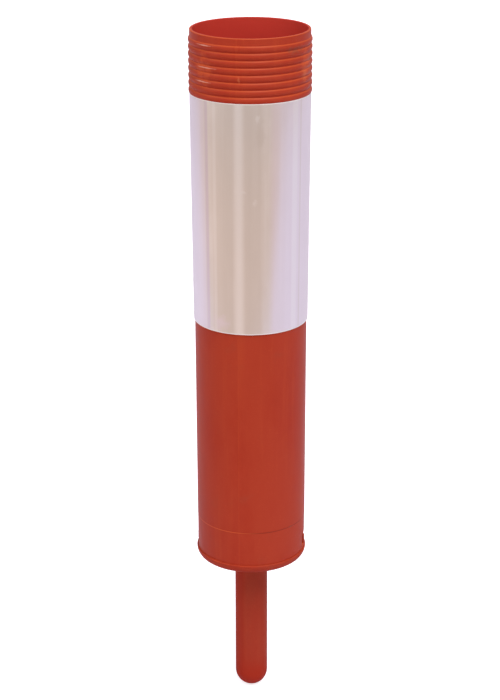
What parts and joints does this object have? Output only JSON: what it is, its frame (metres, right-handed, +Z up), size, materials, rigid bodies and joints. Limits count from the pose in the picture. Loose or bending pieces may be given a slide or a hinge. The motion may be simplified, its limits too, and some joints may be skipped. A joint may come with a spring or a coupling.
{
  "type": "delineator post",
  "caption": "Tapered hollow traffic post with a ribbed open neck, a wide reflective sleeve and a twist-locked base plug carrying a round socket spike.",
  "frame": {"origin": "centre of the base plug's flat underside, where the post stands on the road", "axes": "+Z up the post's axis to the open neck; -Z down the spike; +X is the side with the lock slot that shows; -Y is the front"},
  "size_m": [0.1038, 0.1038, 0.6179],
  "materials": {
    "orange_plastic": "satin moulded orange-red polyethylene",
    "reflective_sheeting": "satin metallised retroreflective sheeting, silver-white",
    "plug_plastic": "satin moulded orange-red polyethylene",
    "spike_plastic": "satin moulded orange-red polyethylene, slightly darker",
    "screw_steel": "zinc-plated steel"
  },
  "bodies": {
    "base": {"base_plug": "plug_plastic", "spike": "spike_plastic", "spike_screws": "screw_steel"},
    "post": {"post_tube": "orange_plastic", "reflective_sleeve": "reflective_sheeting"}
  },
  "joints": [
    {"name": "post_twist", "type": "hinge", "parent": "base", "child": "post", "pos_m": [0, 0, 0.026], "axis": [0, 0, 1], "range_deg": [-9.1, 7.5]}
  ]
}
